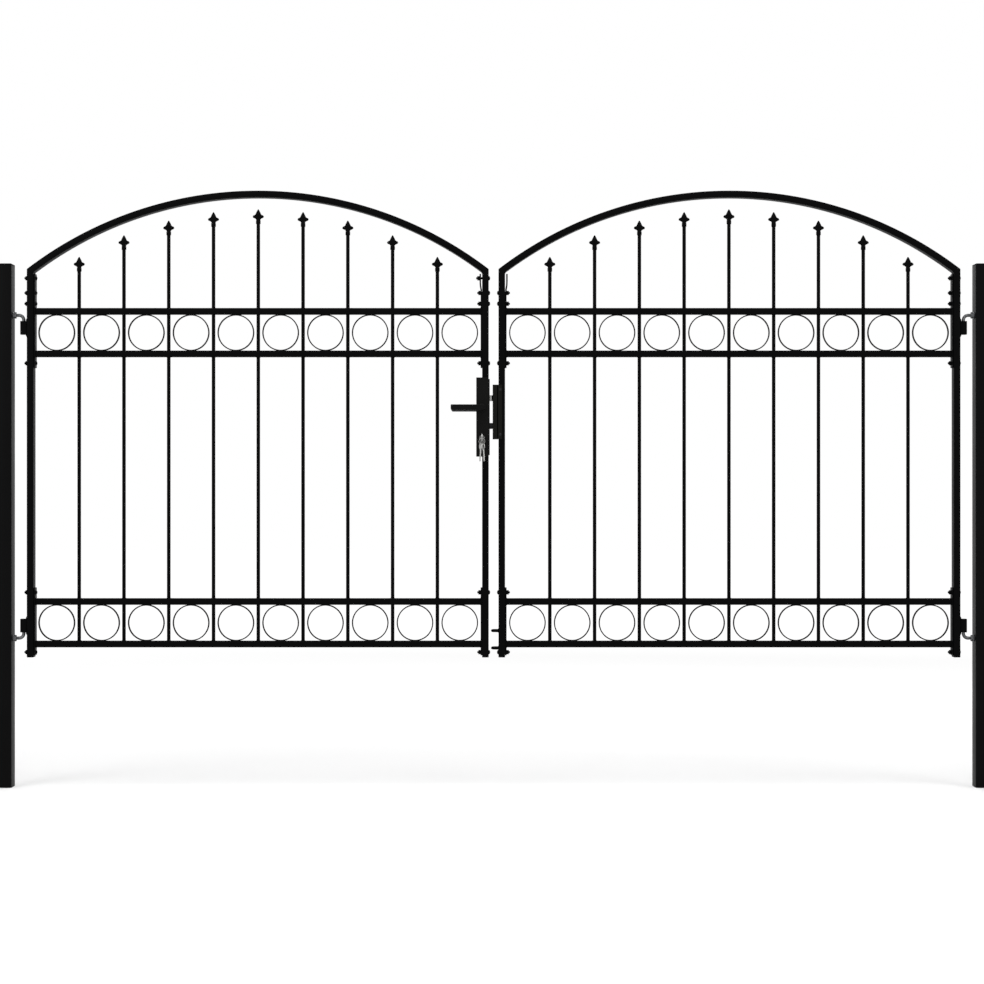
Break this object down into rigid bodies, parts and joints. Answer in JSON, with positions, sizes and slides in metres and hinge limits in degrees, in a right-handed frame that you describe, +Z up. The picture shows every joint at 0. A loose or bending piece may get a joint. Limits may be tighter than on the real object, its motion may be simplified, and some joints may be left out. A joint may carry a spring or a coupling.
{
  "type": "double steel gate",
  "caption": "Double-leaf arched steel garden gate with ring bands and spear-topped bars, lever lock and key, hung on hook hinges between two square posts.",
  "frame": {"origin": "centre of the left post's flat foot", "axes": "+X along the gate towards the right post, +Y through the gate away from its front, +Z up"},
  "size_m": [3.0886, 0.133, 1.822],
  "materials": {
    "powder_coat": "satin black powder coat",
    "cap_plastic": "matt black moulded plastic",
    "zinc": "zinc-plated steel, dulled",
    "cylinder_metal": "nickel-plated, satin",
    "lock_finish": "satin black",
    "lever_finish": "smooth satin black",
    "key_metal": "nickel-plated, polished by use"
  },
  "bodies": {
    "posts": {"left_post": "powder_coat", "right_post": "powder_coat", "left_post_cap": "cap_plastic", "right_post_cap": "cap_plastic", "left_upper_hinge_hook": "zinc", "left_lower_hinge_hook": "zinc", "right_upper_hinge_hook": "zinc", "right_lower_hinge_hook": "zinc"},
    "left_leaf": {"left_hinge_stile": "powder_coat", "left_meeting_stile": "powder_coat", "left_arch": "powder_coat", "left_upper_ring_band": "powder_coat", "left_lower_ring_band": "powder_coat", "left_bar_1": "powder_coat", "left_bar_2": "powder_coat", "left_bar_3": "powder_coat", "left_bar_4": "powder_coat", "left_bar_5": "powder_coat", "left_bar_6": "powder_coat", "left_bar_7": "powder_coat", "left_bar_8": "powder_coat", "left_bar_9": "powder_coat", "lock_case": "lock_finish", "lock_faceplate": "lock_finish", "key_cylinder": "cylinder_metal"},
    "right_leaf": {"right_hinge_stile": "powder_coat", "right_meeting_stile": "powder_coat", "right_arch": "powder_coat", "right_upper_ring_band": "powder_coat", "right_lower_ring_band": "powder_coat", "right_bar_1": "powder_coat", "right_bar_2": "powder_coat", "right_bar_3": "powder_coat", "right_bar_4": "powder_coat", "right_bar_5": "powder_coat", "right_bar_6": "powder_coat", "right_bar_7": "powder_coat", "right_bar_8": "powder_coat", "right_bar_9": "powder_coat", "keeper": "lock_finish", "upper_rod_guide": "powder_coat", "lower_rod_guide": "powder_coat"},
    "lever": {"lever_handle": "lever_finish"},
    "latch": {"latch_bolt": "zinc"},
    "deadbolt": {"deadbolt": "lock_finish"},
    "key": {"key": "key_metal"},
    "key_bunch": {"key_ring": "key_metal", "spare_key_1": "key_metal", "spare_key_2": "key_metal"}
  },
  "joints": [
    {"name": "left_leaf_swing", "type": "hinge", "parent": "posts", "child": "left_leaf", "pos_m": [0.0625, 0, 0.9], "axis": [0, 0, 1], "range_deg": [0, 95]},
    {"name": "right_leaf_swing", "type": "hinge", "parent": "posts", "child": "right_leaf", "pos_m": [2.9375, 0, 0.9], "axis": [0, 0, -1], "range_deg": [0, 95]},
    {"name": "lever_turn", "type": "hinge", "parent": "left_leaf", "child": "lever", "pos_m": [1.4646, 0, 1.159], "axis": [0, -1, 0], "range_deg": [0, 40], "stiffness_Nm_per_rad": 1, "springref_deg": -28.65},
    {"name": "latch_slide", "type": "slide", "parent": "left_leaf", "child": "latch", "axis": [-1, 0, 0], "range_m": [0, 0.014]},
    {"name": "key_turn", "type": "hinge", "parent": "left_leaf", "child": "key", "pos_m": [1.4646, 0, 1.067], "axis": [0, 1, 0], "range_deg": [0, 360]},
    {"name": "deadbolt_slide", "type": "slide", "parent": "left_leaf", "child": "deadbolt", "axis": [-1, 0, 0], "range_m": [0, 0.018]},
    {"name": "key_ring_swing", "type": "hinge", "parent": "key", "child": "key_bunch", "pos_m": [1.4646, -0.052, 1.067], "axis": [1, 0, 0], "range_deg": [-60, 10]}
  ],
  "couplings": [
    {"joint": "latch_slide", "follows": "lever_turn", "m_per_rad": 0.020053},
    {"joint": "deadbolt_slide", "follows": "key_turn", "m_per_rad": 0.0028647}
  ]
}
